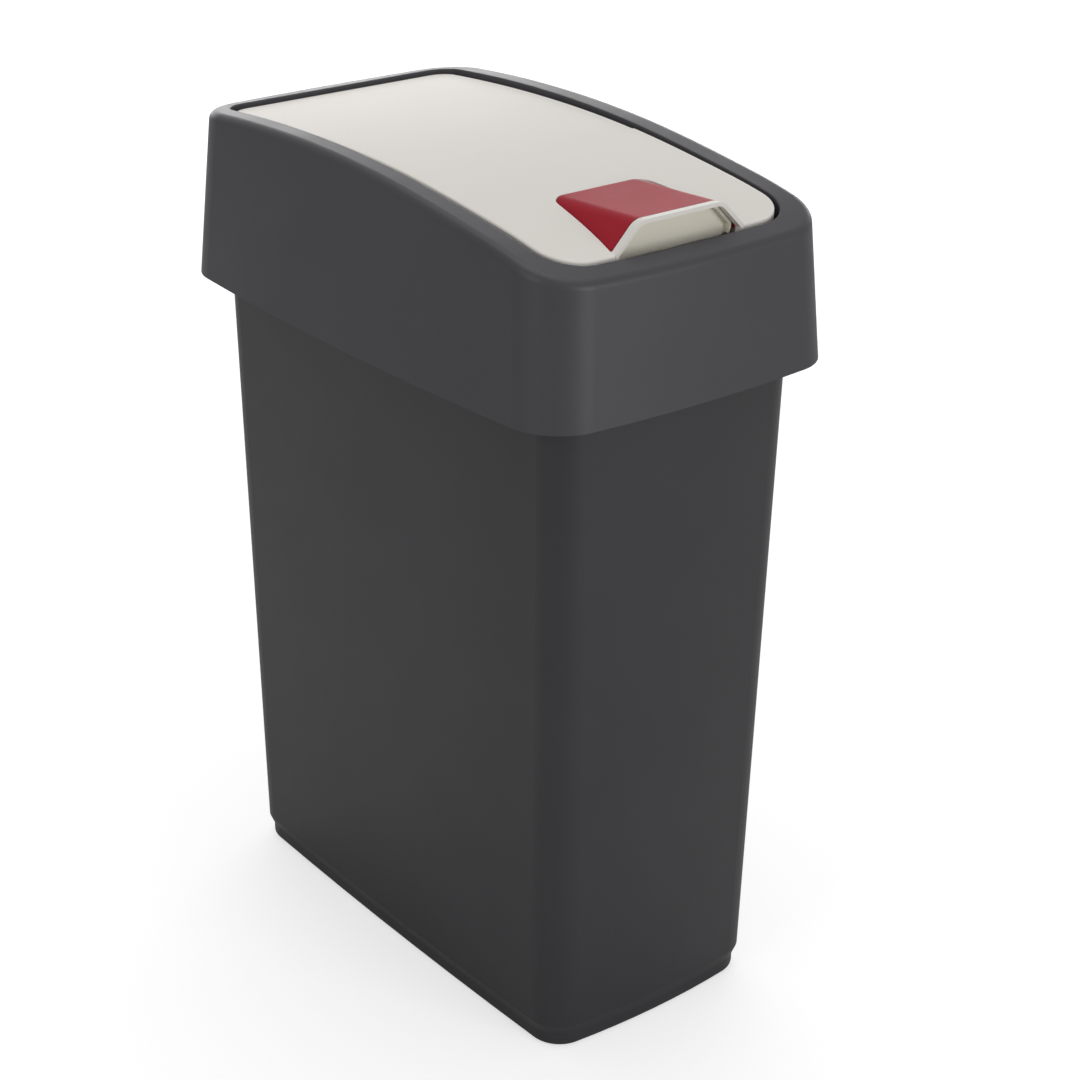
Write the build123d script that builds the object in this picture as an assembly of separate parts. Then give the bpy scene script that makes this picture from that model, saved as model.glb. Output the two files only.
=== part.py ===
from build123d import *
import math
import os

os.makedirs("parts", exist_ok=True)

# A touch top bin: a tapered tub, a lid frame that lifts off it, and a flap that swings
# on two pins at its sides and is let go by a red touch pad at the front.
# Millimetres, +Z up, front towards -Y, origin at the middle of the base.

# Tub
foot_height = 6.5
foot_half_x = 55.0
foot_half_y = 113.3
foot_round = 2.5
foot_ring_width = 8.0
foot_slope_height = 5.0
base_lift = 3.0
base_thickness = 2.5
tub_half_x_low = 56.8
tub_half_y_low = 114.6
tub_half_x_rim = 61.8
tub_half_y_rim = 119.0
tub_corner = 14.5
tub_crown_x = 2.0
tub_crown_y = 3.8
tub_wall = 2.0
rim_height = 322.0
rim_width = 4.5
rim_thickness = 2.0
rim_lip_depth = 8.0
rim_lip_wall = 1.6

# Lid frame, a skirt that flares downwards under a rounded shoulder
skirt_overlap = 30.0
skirt_reach_x = 12.3
skirt_reach_y = 9.2
skirt_draw_x = 3.3
skirt_draw_y = 5.2
skirt_bottom = rim_height - skirt_overlap
skirt_half_x = tub_half_x_rim + skirt_reach_x
skirt_half_y = tub_half_y_rim + skirt_reach_y
skirt_corner = 23.8
skirt_crown_x = 5.5
skirt_crown_y = 4.5
shoulder_rise = 38.0
shoulder_height = rim_height + shoulder_rise
shoulder_half_x = skirt_half_x - skirt_draw_x
shoulder_half_y = skirt_half_y - skirt_draw_y
shoulder_corner = 23.0
shoulder_crown_x = 1.2
shoulder_crown_y = 3.0
shoulder_round = 4.0
frame_wall = 2.2

# Lid mouth, the ledge under the front of the flap and the ribs that centre the frame
mouth_side_inset = 1.6
mouth_front_inset = 2.0
mouth_back_inset = 3.0
mouth_half_x = tub_half_x_rim - mouth_side_inset
mouth_front_y = mouth_front_inset - tub_half_y_rim
mouth_front_bow = 1.2
mouth_back_y = tub_half_y_rim - mouth_back_inset
mouth_front_corner = 18.5
mouth_back_corner = 11.0
mouth_edge_round = 0.5
throat_wall = 2.0
seat_width = 6.0
seat_thickness = 2.0
ledge_width = 4.0
ledge_thickness = 2.5
ledge_gap = 1.5
locating_rib_thickness = 2.0
locating_rib_height = 24.0
side_rib_spread = 70.0
end_rib_spread = 26.0
locating_gap = 0.7

# Hinge
pivot_setback = 97.0
pivot_rise = 30.0
pivot_y = mouth_front_y + pivot_setback
pivot_z = rim_height + pivot_rise
ledge_end_y = pivot_y - 22.0
pin_diameter = 5.0
pin_head_diameter = 8.0
pin_head_thickness = 1.5
pin_overhang = 6.3
pin_reach = mouth_half_x + pin_overhang
running_clearance = 0.05
lug_gap = 5.8
lug_outer_x = mouth_half_x - lug_gap
lug_thickness = 5.0
lug_radius = 6.0
bush_outer_diameter = 8.0
bush_flange_diameter = 12.0
bush_flange_thickness = 1.2
bush_boss_diameter = 13.0
bush_boss_length = 5.0

# Top line of the flap, from front to back, and how far the band round it stands above it
crest_end_reach = 2.3
crest_front_y = -(skirt_half_y + skirt_crown_y + crest_end_reach)
crest_front_z = rim_height + 22.0
crest_brow_y = mouth_front_y + 2.0
crest_brow_z = rim_height + 29.8
crest_hump_y = mouth_front_y + 48.0
crest_hump_z = rim_height + 38.2
crest_pivot_z = rim_height + 43.2
crest_peak_y = pivot_y + 50.0
crest_peak_z = rim_height + 44.8
crest_back_y = skirt_half_y + skirt_crown_y + crest_end_reach
crest_back_z = rim_height + 38.5
band_rise_front = -0.1
band_rise_hump = 0.2
band_rise_pivot = 0.8
band_rise_back = 1.4

# Flap
flap_gap = 2.0
flap_back_drop = 0.2
flap_back_inset = 0.4
flap_skin = 2.4
flap_skirt_wall = 2.0
flap_skirt_depth = 8.0
flap_edge_round = 1.0

# Raised grip at the front of the flap
grip_setback = 2.0
grip_front_y = mouth_front_y + grip_setback
grip_length = 50.0
grip_height = 11.4
grip_foot_z = rim_height + 30.0
grip_top_z = grip_foot_z + grip_height
grip_top_half = 21.0
grip_foot_half = 32.2
grip_tilt = 3.0
grip_corner = 8.0
arch_thickness = 1.7
arch_depth = 3.2
pad_clearance = 0.4
pad_rear_half = 23.4
pad_rear_corner = 8.0
pad_wall = 1.7
pad_bottom = grip_foot_z - 2.0
scoop_half = 28.8
scoop_depth = 6.2
scoop_wall = 1.2
scoop_corner = 4.0
scoop_bottom = grip_foot_z - 4.6

# Inner carrier of the flap
carrier_gap = 0.3
carrier_standoff = 3.0
carrier_thickness = 2.0
carrier_rib_depth = 5.0
carrier_rib_x = 20.0
carrier_rib_spacing = 38.0
carrier_rib_thickness = 1.8
tray_half_x = 36.0
tray_setback = 5.0
tray_length = 52.0
tray_rise = 21.0
tray_front_y = mouth_front_y + tray_setback
tray_back_y = tray_front_y + tray_length
tray_floor_top = rim_height + tray_rise
tray_floor_thickness = 2.0
tray_wall = 1.8
boss_diameter = 7.0
boss_side_inset = 14.2
boss_x = mouth_half_x - boss_side_inset
boss_front_y = mouth_front_y + 25.0
boss_middle_y = pivot_y + 40.0
boss_back_y = mouth_back_y - 20.0

# Button stem, its spring and clip
stem_y = mouth_front_y + 33.0
stem_diameter = 6.0
guide_depth = 3.0
spring_wire = 0.8
spring_mean_diameter = 8.6
spring_turns = 5
spring_height = 15.0
coil_end_gap = 0.05
clip_diameter = 10.0
clip_thickness = 1.0
clip_gap = 0.1
groove_depth = 0.8
stem_tail = 1.5
core_deck = 2.0
core_wall = 1.6

# Latch: a sprung hook under the flap and its catch on the frame
hook_half_x = 8.0
hook_thickness = 1.8
hook_y = mouth_front_y + 14.0
hook_flange_length = 12.0
hook_screw_x = 4.5
nose_height = 3.0
nose_reach = 5.6
nose_gap = 0.3
ramp_top = tray_floor_top - 5.6
ramp_reach = 3.5
wedge_gap = 0.2
wedge_half_x = 4.0
wedge_thickness = 3.2
wedge_hole_clearance = 0.5
catch_half_x = 13.0
catch_rise = 8.3
catch_lip_bottom = rim_height + catch_rise
catch_height = 8.3
catch_top = catch_lip_bottom + catch_height
catch_lip_thickness = 2.6
catch_lip_reach = 7.0
catch_lip_chamfer = 1.6
catch_plate = 2.0
catch_screw_x = 9.0
catch_boss_length = 5.0

# Torsion springs
torsion_wire = 1.0
torsion_turns = 2.5
torsion_pitch = 1.3
torsion_mean_diameter = 7.2
torsion_leg = 18.0
spring_peg_width = 4.0
spring_peg_height = 2.4
spring_peg_gap = 0.1

# Fasteners
screw_diameter = 2.9
screw_head_diameter = 5.6
screw_head_thickness = 1.6
screw_hole_clearance = 0.1
screw_bite = 3.6

# Bumpers
bumper_width = 3.2
bumper_length = 10.0
bumper_gap = 0.1
bumper_x = 41.0
bumper_y = mouth_front_y + 45.0

# Room that cutting shapes run past a face
overrun = 1.0
across = 200.0
overhead = rim_height + 80.0


def crowned_face(half_x, half_y, crown_x, crown_y, corner, z):
    """A rectangle at height z whose sides bow outwards and whose corners are round."""
    right = ThreePointArc((half_x, -half_y), (half_x + crown_x, 0), (half_x, half_y))
    back = ThreePointArc((half_x, half_y), (0, half_y + crown_y), (-half_x, half_y))
    left = ThreePointArc((-half_x, half_y), (-half_x - crown_x, 0), (-half_x, -half_y))
    front = ThreePointArc((-half_x, -half_y), (0, -half_y - crown_y), (half_x, -half_y))
    outline = make_face([right, back, left, front])
    return Pos(0, 0, z) * fillet(outline.vertices(), corner)


def between(low, high, share):
    """The value a share of the way from low to high."""
    return low + (high - low) * share


def tub_face(z, inset):
    """Section of the tapered tub at height z, drawn in by inset."""
    share = (z - slope_top()) / (rim_height - slope_top())
    half_x = between(tub_half_x_low, tub_half_x_rim, share)
    half_y = between(tub_half_y_low, tub_half_y_rim, share)
    return crowned_face(half_x - inset, half_y - inset, tub_crown_x, tub_crown_y, tub_corner - inset, z)


def slope_top():
    """Height where the slope over the foot reaches the full width of the tub."""
    return foot_height + foot_slope_height


def tub_block(bottom, top, inset):
    """Solid tub shape between two heights."""
    return loft([tub_face(bottom, inset), tub_face(top, inset)], ruled=True)


def foot_face(z, inset):
    """Section of the foot at height z, drawn in by inset."""
    return crowned_face(
        foot_half_x - inset, foot_half_y - inset, tub_crown_x, tub_crown_y, tub_corner - inset, z
    )


def foot_block(bottom, top, inset):
    """Solid foot shape between two heights."""
    return extrude(foot_face(bottom, inset), amount=top - bottom)


def collar_face(z, inset):
    """Section of the lid frame at height z, drawn in by inset."""
    share = (z - skirt_bottom) / (shoulder_height - skirt_bottom)
    return crowned_face(
        between(skirt_half_x, shoulder_half_x, share) - inset,
        between(skirt_half_y, shoulder_half_y, share) - inset,
        between(skirt_crown_x, shoulder_crown_x, share),
        between(skirt_crown_y, shoulder_crown_y, share),
        between(skirt_corner, shoulder_corner, share) - inset,
        z,
    )


def mouth_face(grow, z):
    """Outline of the lid mouth at height z, grown by grow on every side."""
    half = mouth_half_x + grow
    back = mouth_back_y + grow
    front = mouth_front_y + mouth_front_bow - grow
    sides = [
        Line((half, front), (half, back)),
        Line((half, back), (-half, back)),
        Line((-half, back), (-half, front)),
        ThreePointArc((-half, front), (0, front - mouth_front_bow), (half, front)),
    ]
    outline = make_face(sides)
    rear_corners = outline.vertices().filter_by(lambda v: v.Y > 0)
    outline = fillet(rear_corners, mouth_back_corner + grow)
    front_corners = outline.vertices().filter_by(lambda v: v.Y < mouth_front_y + mouth_front_corner / 2)
    outline = fillet(front_corners, mouth_front_corner + grow)
    return Pos(0, 0, z) * outline


def below_line(heights, bottom):
    """Everything under a smooth line through heights at the stations of the crest, down to bottom."""
    stations = (crest_front_y, crest_brow_y, crest_hump_y, pivot_y, crest_peak_y, crest_back_y)
    points = list(zip(stations, heights))
    sides = [
        Spline(*points),
        Line(points[-1], (crest_back_y, bottom)),
        Line((crest_back_y, bottom), (crest_front_y, bottom)),
        Line((crest_front_y, bottom), points[0]),
    ]
    return Pos(-across / 2, 0, 0) * extrude(Plane.YZ * make_face(sides), amount=across)


def crest_heights():
    """Heights of the flap's top line at its stations."""
    return (crest_front_z, crest_brow_z, crest_hump_z, crest_pivot_z, crest_peak_z, crest_back_z)


def below_crest(drop, bottom):
    """Everything under the flap's top line lowered by drop, down to bottom."""
    return below_line([z - drop for z in crest_heights()], bottom)


def below_band(drop, bottom):
    """Everything under the band round the flap lowered by drop, down to bottom."""
    rises = (
        band_rise_front, band_rise_front, band_rise_hump, band_rise_pivot, band_rise_back, band_rise_back
    )
    return below_line([z + rise - drop for z, rise in zip(crest_heights(), rises)], bottom)


def block(x0, x1, y0, y1, z0, z1):
    """A box between two corners."""
    solid = Box(x1 - x0, y1 - y0, z1 - z0, align=(Align.MIN, Align.MIN, Align.MIN))
    return Pos(x0, y0, z0) * solid


def rod(x, y, z0, z1, diameter):
    """An upright round bar between two heights."""
    bar = Cylinder(diameter / 2, z1 - z0, align=(Align.CENTER, Align.CENTER, Align.MIN))
    return Pos(x, y, z0) * bar


def cross_rod(x0, x1, y, z, diameter):
    """A round bar along X between x0 and x1."""
    bar = Cylinder(diameter / 2, x1 - x0, align=(Align.CENTER, Align.CENTER, Align.MIN))
    return Pos(x0, y, z) * Rot(0, 90, 0) * bar


def save(shape, name):
    """Write one piece under its own name."""
    export_step(shape, f"parts/{name}.step")


# Tub with its foot, base and turned rim
def make_tub():
    """The tub: a stepped foot, tapered walls, a raised base and a rim turned out and down."""
    outside = tub_block(slope_top(), rim_height, 0) + foot_block(0, foot_height, 0)
    outside += loft([foot_face(foot_height, 0), tub_face(slope_top(), 0)], ruled=True)
    foot_edges = outside.faces().sort_by(Axis.Z)[0].edges()
    outside = fillet(foot_edges, foot_round)
    flange_outline = tub_face(rim_height, -rim_width)
    flange = Pos(0, 0, -rim_thickness) * extrude(flange_outline, amount=rim_thickness)
    lip_outline = flange_outline - tub_face(rim_height, rim_lip_wall - rim_width)
    lip = Pos(0, 0, -rim_lip_depth) * extrude(lip_outline, amount=rim_lip_depth)
    base_top = base_lift + base_thickness
    step_top = slope_top() + tub_wall
    room = tub_block(step_top, rim_height + overrun, tub_wall)
    room += foot_block(base_top, step_top, tub_wall)
    recess = foot_block(-overrun, base_lift, foot_ring_width)
    return outside + flange + lip - room - recess


# Lid frame with its skirt, dished band, throat, seat, ledge and bosses
def frame_solid(inset, bottom):
    """Solid lid frame shape, drawn in on all sides by inset, with the lid mouth through it."""
    top_z = crest_peak_z + band_rise_back + overrun
    solid = loft([collar_face(bottom, inset), collar_face(top_z, inset)], ruled=True)
    solid = solid & below_band(inset, bottom - overrun)
    shoulder = solid.faces().sort_by(Axis.Z)[-1]
    solid = fillet(shoulder.edges(), shoulder_round - inset)
    grow = throat_wall if inset else 0
    return solid - extrude(mouth_face(grow, bottom - overrun), amount=top_z - bottom + 2 * overrun)


def outer_frame():
    """The outside of the lid frame, with the upper edge of its mouth rounded."""
    solid = frame_solid(0, skirt_bottom)
    crown = solid.faces().sort_by(Axis.Z)[-1]
    return fillet(crown.inner_wires()[0].edges(), mouth_edge_round)


def skirt_room(bottom, top, inset):
    """Everything inside the skirt between two heights."""
    return loft([collar_face(bottom, inset), collar_face(top, inset)], ruled=True)


def mouth_block(grow, bottom, top):
    """The lid mouth as a solid between two heights."""
    return extrude(mouth_face(grow, bottom), amount=top - bottom)


def curved_layer(drop, thickness):
    """A sheet that follows the flap's top line, lowered by drop."""
    return below_crest(drop, skirt_bottom) - below_crest(drop + thickness, skirt_bottom - overrun)


def locating_ribs():
    """Upright ribs inside the skirt that centre it round the rim of the tub."""
    thick = locating_rib_thickness
    bottom = rim_height - locating_rib_height
    ribs = [
        block(0, across / 2, sign * side_rib_spread - thick / 2, sign * side_rib_spread + thick / 2,
              bottom, rim_height)
        for sign in (-1, 1)
    ]
    ribs += [mirror(rib, about=Plane.YZ) for rib in ribs]
    ribs += [
        block(sign * end_rib_spread - thick / 2, sign * end_rib_spread + thick / 2, -across, across,
              bottom, rim_height)
        for sign in (-1, 1)
    ]
    rim_room = extrude(
        tub_face(rim_height, -rim_width - locating_gap), amount=-locating_rib_height - overrun
    )
    return (Part() + ribs) & skirt_room(bottom, rim_height, frame_wall / 2) - rim_room


def ledge_drop():
    """How far the ledge top lies under the flap's top line."""
    return flap_skirt_depth + ledge_gap


def make_ledge():
    """The ledge that the front half of the flap rests over."""
    ring = mouth_block(throat_wall / 2, rim_height, crest_peak_z) - mouth_block(-ledge_width, 0, overhead)
    front = block(-across, across, -across, ledge_end_y, 0, overhead)
    return ring & curved_layer(ledge_drop(), ledge_thickness) & front


def both_sides(solid):
    """A solid and its mirror image on the other side."""
    return solid + mirror(solid, about=Plane.YZ)


def spring_leg_z(sign):
    """Height of the straight legs of the torsion springs, above or below the pin."""
    return pivot_z + sign * torsion_mean_diameter / 2


def make_spring_pegs():
    """Pegs on the throat that carry the lower legs of the torsion springs."""
    top = spring_leg_z(-1) - torsion_wire / 2 - spring_peg_gap
    end_y = pivot_y - torsion_leg
    inner_x = mouth_half_x - spring_peg_width
    peg = block(inner_x, mouth_half_x + throat_wall / 2, end_y, end_y + spring_peg_width,
                top - spring_peg_height, top)
    return both_sides(peg)


def catch_screw_z():
    """Height of the two screws that hold the catch."""
    return (catch_top + catch_lip_bottom + catch_lip_thickness) / 2


def along_y(x, z, y0, y1, diameter):
    """A round bar along Y between y0 and y1."""
    bar = Cylinder(diameter / 2, y1 - y0, align=(Align.CENTER, Align.CENTER, Align.MIN))
    return Pos(x, y0, z) * Rot(-90, 0, 0) * bar


def make_frame():
    """The whole lid frame."""
    upper = frame_solid(frame_wall, rim_height)
    lower = skirt_room(skirt_bottom - overrun, rim_height, frame_wall)
    frame = outer_frame() - upper - lower
    seat = mouth_block(throat_wall + seat_width, rim_height, rim_height + seat_thickness)
    frame += seat - mouth_block(0, rim_height - overrun, rim_height + seat_thickness + overrun)
    frame += make_ledge()
    frame += make_spring_pegs()
    boss_end = mouth_half_x + throat_wall + bush_boss_length
    boss = cross_rod(mouth_half_x + throat_wall / 2, boss_end, pivot_y, pivot_z, bush_boss_diameter)
    bore = cross_rod(mouth_half_x - overrun, boss_end + overrun, pivot_y, pivot_z, bush_outer_diameter)
    frame = frame + both_sides(boss) - both_sides(bore)
    frame += locating_ribs()
    front = mouth_front_y - throat_wall / 2
    for x in (-catch_screw_x, catch_screw_x):
        boss = along_y(x, catch_screw_z(), front - catch_boss_length, front, boss_diameter)
        hole_end = mouth_front_y + 2 * overrun
        hole = along_y(x, catch_screw_z(), front - catch_boss_length, hole_end, screw_hole())
        frame = frame + boss - hole
    return frame


def screw_hole():
    """Diameter of a hole that a screw runs through."""
    return screw_diameter + screw_hole_clearance


def make_bush(sign):
    """Flanged bush in the throat that a flap pin turns in."""
    inner = mouth_half_x - bush_flange_thickness
    outer = mouth_half_x + throat_wall + bush_boss_length
    bush = cross_rod(inner, mouth_half_x, pivot_y, pivot_z, bush_flange_diameter)
    bush += cross_rod(mouth_half_x, outer, pivot_y, pivot_z, bush_outer_diameter)
    bore = pin_diameter + 2 * running_clearance
    bush -= cross_rod(inner - overrun, outer + overrun, pivot_y, pivot_z, bore)
    return bush if sign > 0 else mirror(bush, about=Plane.YZ)


# Flap panel with its turned edge, its arch over the grip and the window for the touch pad
def flap_block(depth, inset):
    """Flap shape from a depth below its top surface downwards, drawn in by inset."""
    front = mouth_block(-flap_gap - inset, skirt_bottom, overhead)
    front = front & below_crest(depth, skirt_bottom)
    front = front & block(-across, across, -across, pivot_y, 0, overhead)
    back = mouth_block(-flap_gap - flap_back_inset - inset, skirt_bottom, overhead)
    back = back & below_crest(flap_back_drop + depth, skirt_bottom)
    back = back & block(-across, across, pivot_y, across, 0, overhead)
    return front + back


def grip_bar(inset):
    """The raised grip as a long bar, its section drawn in by inset, running back from its front."""
    low = skirt_bottom
    corners = [
        (-grip_foot_half, low),
        (-grip_foot_half, grip_foot_z),
        (-grip_top_half, grip_top_z),
        (grip_top_half, grip_top_z),
        (grip_foot_half, grip_foot_z),
        (grip_foot_half, low),
    ]
    section = make_face(Polyline(*corners, close=True))
    top_corners = section.vertices().filter_by(lambda v: v.Y > grip_top_z - overrun)
    section = fillet(top_corners, grip_corner)
    if inset:
        section = offset(section, amount=-inset)
    run = (0, math.cos(math.radians(grip_tilt)), -math.sin(math.radians(grip_tilt)))
    start = Pos(0, grip_front_y, 0) * (Plane.XZ * section)
    return extrude(start, amount=grip_length + overrun, dir=run)


def slice_y(y0, y1):
    """Everything between two distances from front to back."""
    return block(-across, across, y0, y1, 0, overhead)


def pad_prism(inset):
    """Upright prism of the touch pad's outline behind the arch, drawn in by inset."""
    front_y = arch_back_y()
    rear_y = grip_front_y + grip_length - inset
    front_half = grip_foot_half - inset
    rear_half = pad_rear_half - inset
    outline = make_face(Polyline(
        (-front_half, front_y), (front_half, front_y), (rear_half, rear_y), (-rear_half, rear_y),
        close=True,
    ))
    rear_corners = outline.vertices().filter_by(lambda v: v.Y > rear_y - overrun)
    outline = fillet(rear_corners, pad_rear_corner - inset)
    return Pos(0, 0, skirt_bottom) * extrude(outline, amount=across)


def arch_back_y():
    """Rear face of the arch, where the touch pad begins."""
    return grip_front_y + arch_depth


def boss_places():
    """Places of the screws that hold the carrier under the flap panel."""
    rows = (boss_front_y, boss_middle_y, boss_back_y)
    return [(x, y) for y in rows for x in (-boss_x, boss_x)]


def surface_z(y, depth):
    """Height of the flap surface at y, less a depth."""
    drop = 0 if y < pivot_y else flap_back_drop
    strip = below_crest(drop + depth, skirt_bottom) & block(-1, 1, y - 0.01, y + 0.01, 0, overhead)
    return strip.bounding_box().max.Z


def make_flap_panel():
    """The cream flap panel."""
    panel = flap_block(0, 0)
    top_edges = panel.faces().sort_by(Axis.Z)[-2:].edges()
    rim_edges = top_edges.filter_by(lambda e: abs(e.center().Y - pivot_y) > overrun)
    panel = fillet(rim_edges, flap_edge_round)
    panel = panel - flap_block(flap_skin, flap_skirt_wall)
    arch = grip_bar(0) & slice_y(grip_front_y, arch_back_y())
    panel += arch
    panel -= flap_block(flap_skirt_depth, -2 * overrun)
    panel -= block(-grip_foot_half, grip_foot_half, grip_front_y - overrun, arch_back_y(),
                   0, surface_z(grip_front_y + overrun, flap_skirt_depth))
    panel -= grip_bar(arch_thickness) & slice_y(-across, arch_back_y() + overrun)
    panel -= pad_prism(0)
    gap = flap_block(flap_skin / 2, flap_skirt_wall / 2) - flap_block(flap_skin + carrier_standoff, 0)
    for x, y in boss_places():
        hole_top = surface_z(y, flap_skin + carrier_standoff) + screw_bite
        panel += rod(x, y, skirt_bottom, overhead, boss_diameter) & gap
        panel -= rod(x, y, skirt_bottom, hole_top, screw_hole())
    return panel


# Red touch pad and the button core under it
def make_touch_pad():
    """Soft red cover over the top and the sloping sides of the button."""
    front = arch_back_y() + pad_clearance
    behind = block(-across, across, front, across, pad_bottom, overhead)
    pad = pad_prism(pad_clearance) & grip_bar(0) & behind
    room = pad_prism(pad_clearance + pad_wall) & grip_bar(pad_wall)
    return pad - room


def scoop_bar(inset):
    """Bar along Y that bounds the finger scoop at its sides and round its lower corners."""
    half = scoop_half - inset
    middle = scoop_bottom + across / 2
    section = Pos(0, middle) * RectangleRounded(2 * half, across, scoop_corner - inset)
    return Pos(0, -across, 0) * extrude(Plane.XZ * section, amount=-2 * across)


def make_button_core():
    """Cream core of the button, with the finger scoop under the arch, its stem and its wedge."""
    front = arch_back_y() + pad_clearance
    plate_y = grip_front_y + scoop_depth
    above = block(-across, across, -across, across, scoop_bottom, overhead)
    body = pad_prism(pad_clearance + pad_wall) & grip_bar(pad_wall) & slice_y(front, across) & above
    body -= slice_y(front - overrun, plate_y + scoop_wall) - scoop_bar(0)
    inner = pad_clearance + pad_wall + core_wall
    hollow = pad_prism(inner) & grip_bar(pad_wall + core_deck) & slice_y(plate_y + scoop_wall, across)
    pocket = grip_bar(pad_wall + scoop_wall) & slice_y(-across, plate_y)
    pocket = pocket & block(scoop_wall - scoop_half, scoop_half - scoop_wall, -across, across, 0, overhead)
    body = body - hollow - pocket
    deck = grip_bar(pad_wall + core_wall / 2)
    stem_end = stem_bottom()
    stem = rod(0, stem_y, stem_end, overhead, stem_diameter)
    stem += rod(0, stem_y, spring_top(), overhead, spring_mean_diameter + 2 * spring_wire)
    wedge_y = hook_front_y() - ramp_reach
    stem += block(-wedge_half_x, wedge_half_x, wedge_y, wedge_y + wedge_thickness,
                  ramp_top + wedge_gap, overhead)
    body += stem & deck
    groove_top = guide_bottom() - clip_gap
    groove = rod(0, stem_y, groove_top - clip_thickness, groove_top, stem_diameter + overrun)
    groove -= rod(0, stem_y, groove_top - clip_thickness, groove_top, stem_diameter - 2 * groove_depth)
    return body - groove


def hook_front_y():
    """Front face of the upright of the latch hook."""
    return hook_y - hook_thickness / 2


def guide_bottom():
    """Lower end of the guide that the button stem runs in."""
    return tray_floor_top - tray_floor_thickness - guide_depth


def stem_bottom():
    """Lower end of the button stem, below its clip."""
    return guide_bottom() - clip_gap - clip_thickness - stem_tail


def spring_top():
    """Seat of the button spring under the core."""
    return tray_floor_top + spring_height


def make_clip():
    """Open spring clip in the groove of the button stem."""
    top = guide_bottom() - clip_gap
    clip = rod(0, stem_y, top - clip_thickness, top, clip_diameter)
    hole = stem_diameter - 2 * groove_depth
    clip -= rod(0, stem_y, top - clip_thickness, top, hole)
    return clip - block(-hole / 2 + groove_depth, hole / 2 - groove_depth, stem_y, across, 0, overhead)


def coil(mean_diameter, wire, turns, pitch):
    """A coil of round wire along +Z, starting on +X and winding clockwise seen from above."""
    path = Helix(pitch=pitch, height=turns * pitch, radius=mean_diameter / 2, lefthand=True)
    section = Plane(origin=path @ 0, z_dir=path % 0) * Circle(wire / 2)
    return sweep(section, path=path)


def make_button_spring():
    """Compression spring round the button stem."""
    pitch = (spring_height - spring_wire - 2 * coil_end_gap) / spring_turns
    spring = coil(spring_mean_diameter, spring_wire, spring_turns, pitch)
    return Pos(0, stem_y, tray_floor_top + spring_wire / 2 + coil_end_gap) * spring


# Carrier under the flap panel
def make_carrier():
    """Ribbed inner moulding with the button tray, the hinge lugs and the stem guide."""
    top = flap_skin + carrier_standoff
    inset = flap_skirt_wall + carrier_gap
    bottom = top + carrier_thickness
    room_y = tray_back_y - tray_wall
    side = tray_half_x - tray_wall
    floor_bottom = tray_floor_top - tray_floor_thickness
    below_panel = flap_block(top, inset)
    carrier = below_panel - flap_block(bottom, 0)
    ribs = Part() + [
        block(x - carrier_rib_thickness / 2, x + carrier_rib_thickness / 2,
              tray_back_y, mouth_back_y - 3 * flap_skirt_wall, 0, overhead)
        for x in (-carrier_rib_x, carrier_rib_x)
    ]
    rib_room = block(-carrier_rib_x, carrier_rib_x, -across, across, 0, overhead)
    for k in range(3):
        rib_y = boss_middle_y + k * carrier_rib_spacing
        ribs += slice_y(rib_y, rib_y + carrier_rib_thickness) & rib_room
    carrier += ribs & (below_panel - flap_block(bottom + carrier_rib_depth, 0))
    tray = block(-tray_half_x, tray_half_x, tray_front_y, tray_back_y, floor_bottom, overhead)
    carrier += tray & (flap_block(top, 0) + block(-across, across, -across, across, 0, tray_floor_top))
    carrier -= block(-side, side, -across, room_y, tray_floor_top, overhead)
    lug = cross_rod(lug_outer_x - lug_thickness, lug_outer_x, pivot_y, pivot_z, 2 * lug_radius)
    lug += block(lug_outer_x - lug_thickness, lug_outer_x, pivot_y - lug_radius, pivot_y + lug_radius,
                 pivot_z, surface_z(pivot_y + overrun, bottom - carrier_thickness / 2))
    carrier += both_sides(lug)
    bore = cross_rod(0, across, pivot_y, pivot_z, pin_diameter + 2 * running_clearance)
    bore = bore & block(lug_outer_x - 2 * lug_thickness, across, -across, across, 0, overhead)
    carrier -= both_sides(bore)
    carrier += rod(0, stem_y, guide_bottom(), tray_floor_top, clip_diameter)
    carrier -= rod(0, stem_y, guide_bottom() - overrun, tray_floor_top + overrun,
                   stem_diameter + 2 * running_clearance)
    wedge_y = hook_front_y() - ramp_reach
    reach = wedge_half_x + wedge_hole_clearance
    carrier -= block(-reach, reach, wedge_y - wedge_hole_clearance,
                     wedge_y + wedge_thickness + wedge_hole_clearance, 0, tray_floor_top + overrun)
    for x in (-hook_screw_x, hook_screw_x):
        carrier += rod(x, hook_screw_y(), tray_floor_top, tray_floor_top + overrun + screw_bite / 2,
                       screw_head_diameter)
        carrier -= rod(x, hook_screw_y(), floor_bottom - overrun, floor_bottom + screw_bite, screw_hole())
    for x, y in boss_places():
        seat = surface_z(y, bottom - carrier_thickness / 2)
        carrier -= rod(x, y, skirt_bottom, seat, screw_head_diameter + 2 * screw_hole_clearance)
        carrier -= rod(x, y, seat - overrun, overhead, screw_hole())
    return carrier


def hook_screw_y():
    """Place of the two screws that hold the hook."""
    return hook_y + hook_flange_length * 0.6


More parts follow.
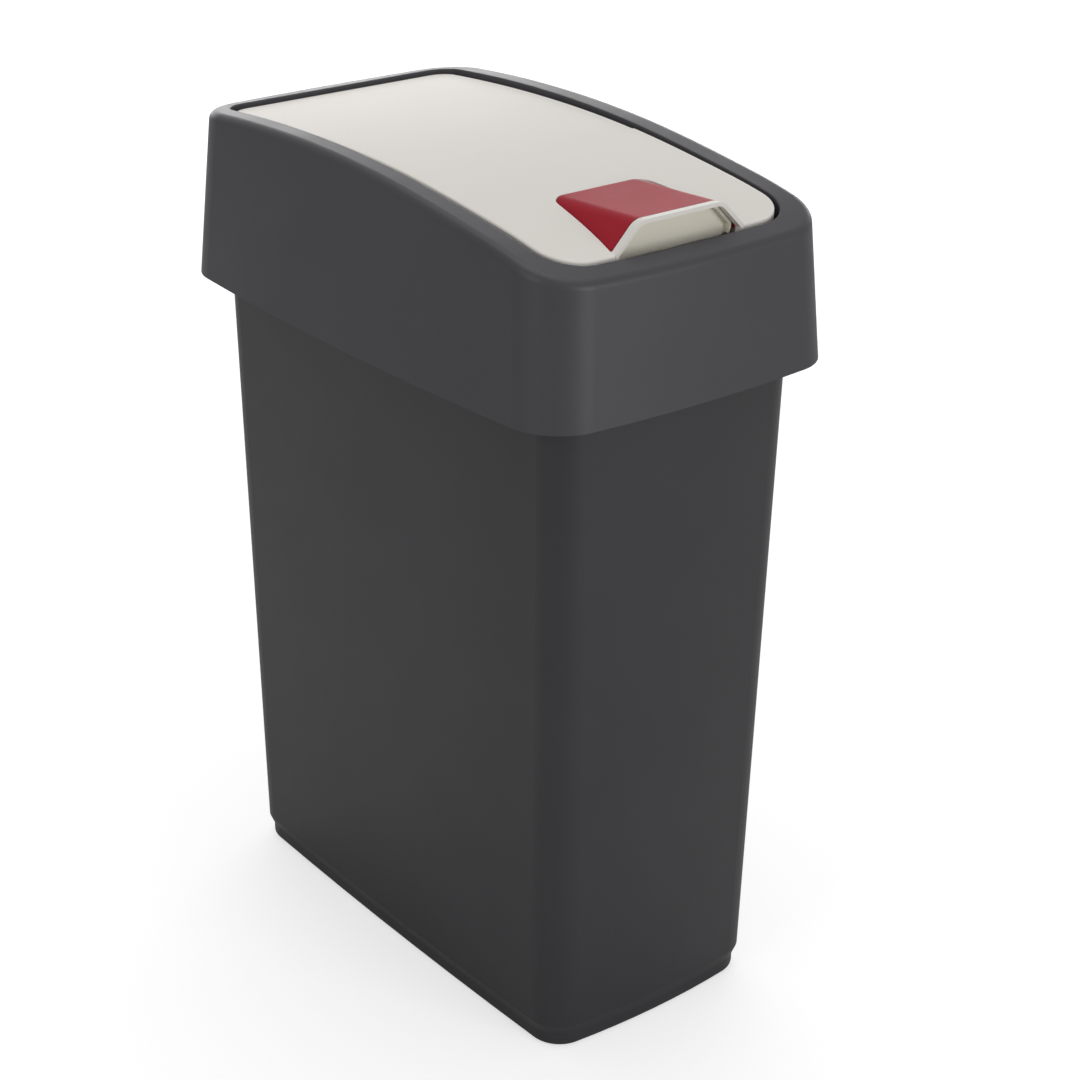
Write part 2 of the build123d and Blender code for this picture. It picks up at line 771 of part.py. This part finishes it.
def make_hook():
    """Sprung hook: a flange under the tray, an upright with a ramp and a nose under the catch."""
    flange_top = tray_floor_top - tray_floor_thickness
    back = hook_y + hook_thickness / 2
    front = hook_front_y()
    nose_top = catch_lip_bottom - nose_gap
    nose_bottom = nose_top - nose_height
    outline = Polyline(
        (back + hook_flange_length, flange_top),
        (front, flange_top),
        (front, ramp_top),
        (front - ramp_reach, ramp_top - ramp_reach),
        (front, nose_top + nose_height / 2),
        (front, nose_top),
        (front - nose_reach, nose_top),
        (front - nose_reach, nose_top - nose_height / 3),
        (front, nose_bottom),
        (back, nose_bottom),
        (back, flange_top - hook_thickness),
        (back + hook_flange_length, flange_top - hook_thickness),
        close=True,
    )
    hook = Pos(-hook_half_x, 0, 0) * extrude(Plane.YZ * make_face(outline), amount=2 * hook_half_x)
    ramp_cut = block(wedge_half_x + wedge_hole_clearance, across, front - ramp_reach - overrun, front,
                     nose_top + overrun / 2, flange_top)
    hook -= both_sides(ramp_cut)
    for x in (-hook_screw_x, hook_screw_x):
        hook -= rod(x, hook_screw_y(), 0, overhead, screw_hole())
    return hook


def make_catch():
    """Catch plate on the front of the throat, with the lip that the hook holds under."""
    plate_back = mouth_front_y + catch_plate
    lip_top = catch_lip_bottom + catch_lip_thickness
    plate = block(-catch_half_x, catch_half_x, -across, plate_back, catch_lip_bottom, catch_top)
    lip = block(-catch_half_x, catch_half_x, mouth_front_y, plate_back + catch_lip_reach,
                catch_lip_bottom, lip_top)
    lip_edge = lip.edges().filter_by(Axis.X).sort_by(lambda e: e.center().Y + e.center().Z)[-1]
    catch = plate + chamfer(lip_edge, catch_lip_chamfer)
    catch = catch & mouth_block(0, skirt_bottom, overhead)
    for x in (-catch_screw_x, catch_screw_x):
        catch -= along_y(x, catch_screw_z(), mouth_front_y - overrun, plate_back + overrun, screw_hole())
    return catch


# Pins, springs, screws and bumpers
def make_pin(sign):
    """Headed pin that runs from a lug of the carrier into the bush in the throat."""
    inner = lug_outer_x - lug_thickness
    pin = cross_rod(inner - pin_head_thickness, inner, pivot_y, pivot_z, pin_head_diameter)
    pin += cross_rod(inner, pin_reach, pivot_y, pivot_z, pin_diameter)
    return pin if sign > 0 else mirror(pin, about=Plane.YZ)


def make_torsion_spring(sign):
    """Coil round the pin, one leg up against the carrier and one down on its peg."""
    spring = coil(torsion_mean_diameter, torsion_wire, torsion_turns, torsion_pitch)
    length = torsion_turns * torsion_pitch
    middle = (lug_outer_x + mouth_half_x - bush_flange_thickness) / 2
    start_x = middle - length / 2
    spring = Pos(start_x, pivot_y, pivot_z) * Rot(0, 90, 0) * Rot(0, 0, 180) * spring
    leg_end = pivot_y - torsion_leg
    spring += along_y(start_x, spring_leg_z(1), leg_end, pivot_y, torsion_wire)
    spring += along_y(start_x + length, spring_leg_z(-1), leg_end, pivot_y, torsion_wire)
    return spring if sign > 0 else mirror(spring, about=Plane.YZ)


def upright_screw(x, y, seat, reach):
    """Pan head screw pointing up, its head under the seat."""
    return rod(x, y, seat, seat + reach, screw_diameter) + rod(
        x, y, seat - screw_head_thickness, seat, screw_head_diameter
    )


def make_carrier_screws():
    """The screws that hold the carrier to the flap panel."""
    depth = flap_skin + carrier_standoff + carrier_thickness / 2
    reach = carrier_thickness / 2 + screw_bite
    return Part() + [upright_screw(x, y, surface_z(y, depth), reach) for x, y in boss_places()]


def make_hook_screws():
    """The two screws that hold the hook under the tray."""
    seat = tray_floor_top - tray_floor_thickness - hook_thickness
    reach = hook_thickness + screw_bite
    return Part() + [
        upright_screw(x, hook_screw_y(), seat, reach) for x in (-hook_screw_x, hook_screw_x)
    ]


def make_catch_screws():
    """The two screws that hold the catch to the throat."""
    seat = mouth_front_y + catch_plate
    tip = mouth_front_y - throat_wall - catch_boss_length / 2
    screws = Part()
    for x in (-catch_screw_x, catch_screw_x):
        screws += along_y(x, catch_screw_z(), tip, seat, screw_diameter)
        screws += along_y(x, catch_screw_z(), seat, seat + screw_head_thickness, screw_head_diameter)
    return screws


def make_bumpers():
    """Rubber pads on the ledge that the edge of the flap comes down on."""
    thickness = ledge_gap - bumper_gap
    layer = curved_layer(ledge_drop() - thickness, thickness)
    side = block(mouth_half_x - bumper_width, mouth_half_x - bumper_gap,
                 bumper_y - bumper_length / 2, bumper_y + bumper_length / 2, 0, overhead)
    front_y = mouth_front_y + mouth_front_bow + bumper_gap
    front = block(bumper_x - bumper_length, bumper_x, front_y, front_y + bumper_width, 0, overhead)
    pads = both_sides(side) + both_sides(front)
    return pads & layer


# Every piece under its own name
pieces = {
    "bin_body": make_tub(),
    "lid_frame": make_frame(),
    "pivot_bush_left": make_bush(-1),
    "pivot_bush_right": make_bush(1),
    "catch_block": make_catch(),
    "catch_screws": make_catch_screws(),
    "ledge_bumpers": make_bumpers(),
    "flap_panel": make_flap_panel(),
    "flap_carrier": make_carrier(),
    "carrier_screws": make_carrier_screws(),
    "hinge_pin_left": make_pin(-1),
    "hinge_pin_right": make_pin(1),
    "torsion_spring_left": make_torsion_spring(-1),
    "torsion_spring_right": make_torsion_spring(1),
    "latch_hook": make_hook(),
    "hook_screws": make_hook_screws(),
    "touch_pad": make_touch_pad(),
    "button_core": make_button_core(),
    "button_spring": make_button_spring(),
    "stem_clip": make_clip(),
}
for name, shape in pieces.items():
    save(shape, name)
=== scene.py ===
"""Looks of a slim touch top bin: finishes, soft studio light and the camera.

The bin has a tapered dark tub, a dark lid frame with a flared skirt, a cream flap and a
red touch pad over a finger scoop. Lengths are in metres, +Z up, the front towards -Y.
"""

import logging
import math
from dataclasses import dataclass, field
from enum import Enum

import bpy
from mathutils import Matrix, Vector


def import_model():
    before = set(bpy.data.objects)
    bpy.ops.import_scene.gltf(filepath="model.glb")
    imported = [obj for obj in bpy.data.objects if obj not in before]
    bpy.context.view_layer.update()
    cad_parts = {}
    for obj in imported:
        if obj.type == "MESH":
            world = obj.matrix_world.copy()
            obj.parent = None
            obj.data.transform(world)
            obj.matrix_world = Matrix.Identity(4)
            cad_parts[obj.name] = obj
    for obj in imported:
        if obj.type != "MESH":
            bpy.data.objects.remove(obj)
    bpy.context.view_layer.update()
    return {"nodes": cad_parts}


logging.basicConfig(level=logging.INFO, format="%(message)s")
log = logging.getLogger("bin")

MM = 0.001

COLOUR_CLOUD = 60 * MM
"""Width of the patches over which a colour drifts."""
ROUGHNESS_CLOUD = 25 * MM
"""Width of the patches over which a roughness drifts."""
NOISE_DETAIL = 3
"""Number of octaves in each noise."""
NOISE_RANGE = (0.3, 0.7)
"""Values between which nearly all of a noise lies."""
DRAWN_STRETCH = (0.1, 1, 1)
"""Scale of the coordinates that draws a grain out into lines."""
STRONG_BUMP = 1.0
"""Strength of the bump of a sand-like grain."""
FAINT_BUMP = 0.5
"""Strength of the bump of every other grain."""
SENSOR_WIDTH = 36
"""Width of the camera's frame, in millimetres."""

Colour = tuple[float, float, float]
Tree = bpy.types.NodeTree
Socket = bpy.types.NodeSocket


class Grain(Enum):
    """Surface texture of a moulded or drawn piece."""

    SPARK = "fine sand-like grain of an eroded mould"
    SATIN = "almost smooth, with a faint orange peel"
    DRAWN = "fine lines along a drawn wire or rod"


@dataclass(frozen=True)
class Finish:
    """A finish made of procedural nodes.

    Attributes:
        name: Name of the material.
        colour: Base colour, linear.
        roughness: Middle of the roughness range.
        grain: Kind of surface texture.
        grain_size: Width of one grain, in metres.
        grain_depth: Height of the grain, in metres.
        drift: Share by which colour and roughness drift over the surface.
        metallic: 1 for metal, 0 for plastic.
        sheen: Strength of the reflection of a plastic, 0.5 for a common one.
    """

    name: str
    colour: Colour
    roughness: float
    grain: Grain = Grain.SATIN
    grain_size: float = 0.4 * MM
    grain_depth: float = 0.02 * MM
    drift: float = 0.05
    metallic: float = 0.0
    sheen: float = 0.5

    def material(self) -> bpy.types.Material:
        """Builds the material once and returns it.

        Returns:
            The material of this finish.
        """
        made = bpy.data.materials.get(self.name)
        if made:
            return made
        made = bpy.data.materials.new(self.name)
        made.use_nodes = True
        tree = made.node_tree
        shader = tree.nodes["Principled BSDF"]
        shader.inputs["Metallic"].default_value = self.metallic
        shader.inputs["Specular IOR Level"].default_value = self.sheen
        place = tree.nodes.new("ShaderNodeTexCoord").outputs["Object"]
        self._colour(tree, shader, place)
        self._roughness(tree, shader, place)
        self._grain(tree, shader, place)
        return made

    def _cloud(self, tree: Tree, place: Socket, size: float) -> Socket:
        """Adds a soft noise of a given size.

        Args:
            tree: Node tree to add to.
            place: Coordinates that the noise reads.
            size: Width of one cloud, in metres.

        Returns:
            The noise value, from 0 to 1.
        """
        noise = tree.nodes.new("ShaderNodeTexNoise")
        noise.inputs["Scale"].default_value = 1 / size
        noise.inputs["Detail"].default_value = NOISE_DETAIL
        tree.links.new(place, noise.inputs["Vector"])
        return noise.outputs["Fac"]

    def _span(self, tree: Tree, value: Socket, low: float, high: float) -> Socket:
        """Maps a noise value to a range.

        Args:
            tree: Node tree to add to.
            value: Value from 0 to 1.
            low: Result at the low end of NOISE_RANGE.
            high: Result at the high end of NOISE_RANGE.

        Returns:
            The mapped value.
        """
        span = tree.nodes.new("ShaderNodeMapRange")
        span.inputs["From Min"].default_value = NOISE_RANGE[0]
        span.inputs["From Max"].default_value = NOISE_RANGE[1]
        span.inputs["To Min"].default_value = low
        span.inputs["To Max"].default_value = high
        tree.links.new(value, span.inputs["Value"])
        return span.outputs["Result"]

    def _colour(self, tree: Tree, shader: bpy.types.Node, place: Socket) -> None:
        """Lets the colour drift slightly over the surface.

        Args:
            tree: Node tree to add to.
            shader: Shader that takes the colour.
            place: Coordinates that the pattern reads.
        """
        cloud = self._cloud(tree, place, COLOUR_CLOUD)
        level = self._span(tree, cloud, 1 - self.drift, 1 + self.drift)
        tint = tree.nodes.new("ShaderNodeVectorMath")
        tint.operation = "SCALE"
        tint.inputs[0].default_value = self.colour
        tree.links.new(level, tint.inputs["Scale"])
        tree.links.new(tint.outputs["Vector"], shader.inputs["Base Color"])

    def _roughness(self, tree: Tree, shader: bpy.types.Node, place: Socket) -> None:
        """Lets the roughness drift slightly over the surface.

        Args:
            tree: Node tree to add to.
            shader: Shader that takes the roughness.
            place: Coordinates that the pattern reads.
        """
        low = self.roughness * (1 - self.drift)
        high = self.roughness * (1 + self.drift)
        cloud = self._cloud(tree, place, ROUGHNESS_CLOUD)
        level = self._span(tree, cloud, low, high)
        tree.links.new(level, shader.inputs["Roughness"])

    def _grain(self, tree: Tree, shader: bpy.types.Node, place: Socket) -> None:
        """Raises the grain as a bump.

        Args:
            tree: Node tree to add to.
            shader: Shader that takes the normal.
            place: Coordinates that the pattern reads.
        """
        stretch = tree.nodes.new("ShaderNodeMapping")
        if self.grain is Grain.DRAWN:
            stretch.inputs["Scale"].default_value = DRAWN_STRETCH
        tree.links.new(place, stretch.inputs["Vector"])
        height = self._cloud(tree, stretch.outputs["Vector"], self.grain_size)
        bump = tree.nodes.new("ShaderNodeBump")
        strong = self.grain is Grain.SPARK
        bump.inputs["Strength"].default_value = STRONG_BUMP if strong else FAINT_BUMP
        bump.inputs["Distance"].default_value = self.grain_depth
        tree.links.new(height, bump.inputs["Height"])
        tree.links.new(bump.outputs["Normal"], shader.inputs["Normal"])


TUB_GREY = Finish(
    "tub grey",
    colour=(0.038, 0.037, 0.041),
    roughness=0.38,
    grain_size=1.2 * MM,
    grain_depth=0.012 * MM,
)
FRAME_GREY = Finish(
    "frame grey",
    colour=(0.062, 0.060, 0.068),
    roughness=0.44,
    grain=Grain.SPARK,
    grain_size=0.5 * MM,
)
CREAM = Finish(
    "cream",
    colour=(0.87, 0.84, 0.79),
    roughness=0.5,
    grain_size=0.8 * MM,
    grain_depth=0.01 * MM,
    drift=0.01,
    sheen=0.1,
)
WARM_CREAM = Finish(
    "warm cream",
    colour=(0.9, 0.86, 0.74),
    roughness=0.5,
    grain_size=0.8 * MM,
    grain_depth=0.01 * MM,
    drift=0.01,
)
RED = Finish(
    "touch red",
    colour=(0.38, 0.018, 0.032),
    roughness=0.5,
    grain_size=0.5 * MM,
    grain_depth=0.01 * MM,
    sheen=0.08,
)
ACETAL = Finish("natural acetal", colour=(0.66, 0.66, 0.62), roughness=0.4)
RUBBER = Finish("bumper rubber", colour=(0.03, 0.03, 0.03), roughness=0.7, grain=Grain.SPARK)
ZINC = Finish(
    "zinc plate",
    colour=(0.6, 0.6, 0.6),
    roughness=0.35,
    grain=Grain.DRAWN,
    grain_size=0.3 * MM,
    metallic=1.0,
)
SPRING_STEEL = Finish(
    "spring steel",
    colour=(0.42, 0.42, 0.42),
    roughness=0.3,
    grain=Grain.DRAWN,
    grain_size=0.2 * MM,
    metallic=1.0,
)


@dataclass
class Assembly:
    """A sub-assembly whose shape is right as constructed and that only takes finishes.

    Attributes:
        nodes: Objects of the frame by name.
        finishes: Finish of each node of the sub-assembly.
    """

    nodes: dict[str, bpy.types.Object]
    finishes: dict[str, Finish] = field(default_factory=dict)

    def dress(self) -> None:
        """Gives each node its finish and reports it."""
        for name, finish in self.finishes.items():
            mesh = self.nodes[name].data
            mesh.materials.clear()
            mesh.materials.append(finish.material())
            log.info("%s dressed in %s", name, finish.name)


@dataclass
class Tub(Assembly):
    """The tapered tub."""

    finishes: dict[str, Finish] = field(default_factory=lambda: {"bin_body": TUB_GREY})


@dataclass
class LidFrame(Assembly):
    """The lift-off frame with its catch, bushes and bumpers."""

    finishes: dict[str, Finish] = field(default_factory=lambda: {
        "lid_frame": FRAME_GREY,
        "pivot_bush_left": ACETAL,
        "pivot_bush_right": ACETAL,
        "catch_block": ACETAL,
        "catch_screws": ZINC,
        "ledge_bumpers": RUBBER,
    })


@dataclass
class Flap(Assembly):
    """The cream flap with its carrier, pins, springs and hook."""

    finishes: dict[str, Finish] = field(default_factory=lambda: {
        "flap_panel": CREAM,
        "flap_carrier": CREAM,
        "carrier_screws": ZINC,
        "hinge_pin_left": ZINC,
        "hinge_pin_right": ZINC,
        "torsion_spring_left": SPRING_STEEL,
        "torsion_spring_right": SPRING_STEEL,
        "latch_hook": ACETAL,
        "hook_screws": ZINC,
    })


@dataclass
class Button(Assembly):
    """The red touch pad on its core, with the stem's spring and clip."""

    finishes: dict[str, Finish] = field(default_factory=lambda: {
        "touch_pad": RED,
        "button_core": WARM_CREAM,
        "button_spring": SPRING_STEEL,
        "stem_clip": SPRING_STEEL,
    })


@dataclass(frozen=True)
class Softbox:
    """A soft rectangular lamp that faces the bin.

    Attributes:
        name: Name of the lamp.
        place: Position of the lamp.
        size: Width and height of the lamp.
        power: Power, in watts.
    """

    name: str
    place: tuple[float, float, float]
    size: tuple[float, float]
    power: float


SOFTBOXES = (
    Softbox("overhead softbox", place=(0.1, 0.2, 1.9), size=(1.5, 1.5), power=8.0),
    Softbox("left softbox", place=(-1.9, -0.2, 0.9), size=(1.0, 1.4), power=5.0),
    Softbox("front softbox", place=(0.5, -2.2, 0.7), size=(0.9, 1.2), power=14.0),
    Softbox("low backdrop", place=(1.4, 1.9, 0.6), size=(3.6, 0.45), power=26.0),
    Softbox("high backdrop", place=(1.4, 1.9, 1.2), size=(3.6, 0.7), power=6.0),
)


@dataclass
class Studio:
    """Floor, soft lamps and camera.

    Attributes:
        target: Point that the camera looks at.
        azimuth: Camera direction round the bin, in degrees, 0 from the front.
        elevation: Camera height above the horizon, in degrees.
        distance: Camera distance from the target.
        lens: Focal length, in millimetres.
        shift: Frame shift right and up, as shares of the frame.
        roll: Turn of the camera about its own axis, in degrees.
        floor_size: Width of the square floor.
        floor_level: Share of light that the floor throws back.
        floor_roughness: Roughness of the floor.
        floor_sheen: Strength of the reflection in the floor.
        floor_glow: Light added to the floor where the camera sees it, so that it looks white.
        air_glow: Strength of the even light from all round.
    """

    target: Vector = field(default_factory=lambda: Vector((0.0, 0.0, 0.1825)))
    azimuth: float = -37.58
    elevation: float = 25.11
    distance: float = 1.035
    lens: float = 77.97
    shift: tuple[float, float] = (0.0426, 0.0039)
    roll: float = 0.19
    floor_size: float = 14.0
    floor_level: float = 0.62
    floor_roughness: float = 0.9
    floor_sheen: float = 0.1
    floor_glow: float = 0.6
    air_glow: float = 0.36

    def build(self) -> None:
        """Makes the floor, the lamps, the world and the camera."""
        self._floor()
        self._world()
        for softbox in SOFTBOXES:
            self._lamp(softbox)
        self._camera()

    def _floor(self) -> None:
        """Adds the pale floor that keeps the shadow of the bin."""
        bpy.ops.object.select_all(action="DESELECT")
        bpy.ops.mesh.primitive_plane_add(size=self.floor_size, location=(0, 0, 0))
        floor = bpy.context.object
        floor.name = "studio_floor"
        bpy.ops.object.transform_apply(location=True, rotation=True, scale=True)
        floor.data.materials.append(self._floor_paint())

    def _floor_paint(self) -> bpy.types.Material:
        """Makes the matt paint of the floor, which glows only where the camera sees it.

        Returns:
            The material of the floor.
        """
        paint = bpy.data.materials.new("studio floor")
        paint.use_nodes = True
        tree = paint.node_tree
        shader = tree.nodes["Principled BSDF"]
        grey = self.floor_level
        shader.inputs["Base Color"].default_value = (grey, grey, grey, 1)
        shader.inputs["Roughness"].default_value = self.floor_roughness
        shader.inputs["Specular IOR Level"].default_value = self.floor_sheen
        glow = tree.nodes.new("ShaderNodeEmission")
        glow.inputs["Strength"].default_value = self.floor_glow
        both = tree.nodes.new("ShaderNodeAddShader")
        seen = tree.nodes.new("ShaderNodeMixShader")
        rays = tree.nodes.new("ShaderNodeLightPath")
        out = tree.nodes["Material Output"]
        tree.links.new(shader.outputs["BSDF"], both.inputs[0])
        tree.links.new(glow.outputs["Emission"], both.inputs[1])
        tree.links.new(rays.outputs["Is Camera Ray"], seen.inputs["Fac"])
        tree.links.new(shader.outputs["BSDF"], seen.inputs[1])
        tree.links.new(both.outputs["Shader"], seen.inputs[2])
        tree.links.new(seen.outputs["Shader"], out.inputs["Surface"])
        return paint

    def _world(self) -> None:
        """Lights the scene evenly from all round."""
        world = bpy.data.worlds.new("studio air")
        world.use_nodes = True
        air = world.node_tree.nodes["Background"]
        air.inputs["Color"].default_value = (1, 1, 1, 1)
        air.inputs["Strength"].default_value = self.air_glow
        bpy.context.scene.world = world

    def _lamp(self, softbox: Softbox) -> None:
        """Adds a soft rectangular lamp that faces the bin.

        Args:
            softbox: Lamp to add.
        """
        lamp = bpy.data.lights.new(softbox.name, "AREA")
        lamp.shape = "RECTANGLE"
        lamp.size, lamp.size_y = softbox.size
        lamp.energy = softbox.power
        holder = bpy.data.objects.new(softbox.name, lamp)
        bpy.context.scene.collection.objects.link(holder)
        holder.location = softbox.place
        aim = self.target - Vector(softbox.place)
        holder.rotation_euler = aim.to_track_quat("-Z", "Y").to_euler()

    def _camera(self) -> None:
        """Places the camera where the photograph was taken from."""
        turn = math.radians(self.azimuth)
        rise = math.radians(self.elevation)
        back = Vector((
            math.sin(turn) * math.cos(rise),
            -math.cos(turn) * math.cos(rise),
            math.sin(rise),
        ))
        right = Vector((math.cos(turn), math.sin(turn), 0))
        up = back.cross(right)
        basis = Matrix((right, up, back)).transposed().to_4x4()
        lens = bpy.data.cameras.new("camera")
        lens.lens = self.lens
        lens.sensor_width = SENSOR_WIDTH
        lens.shift_x, lens.shift_y = self.shift
        camera = bpy.data.objects.new("camera", lens)
        bpy.context.scene.collection.objects.link(camera)
        spin = Matrix.Rotation(math.radians(self.roll), 4, "Z")
        camera.matrix_world = Matrix.Translation(self.target + back * self.distance) @ basis @ spin
        bpy.context.scene.camera = camera


def main() -> None:
    """Loads the frame, dresses every sub-assembly and sets up the studio."""
    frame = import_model()
    nodes = frame["nodes"]
    for part in (Tub(nodes), LidFrame(nodes), Flap(nodes), Button(nodes)):
        part.dress()
    Studio().build()
    bpy.context.scene.view_settings.view_transform = "Standard"


if __name__ == "__main__":
    main()
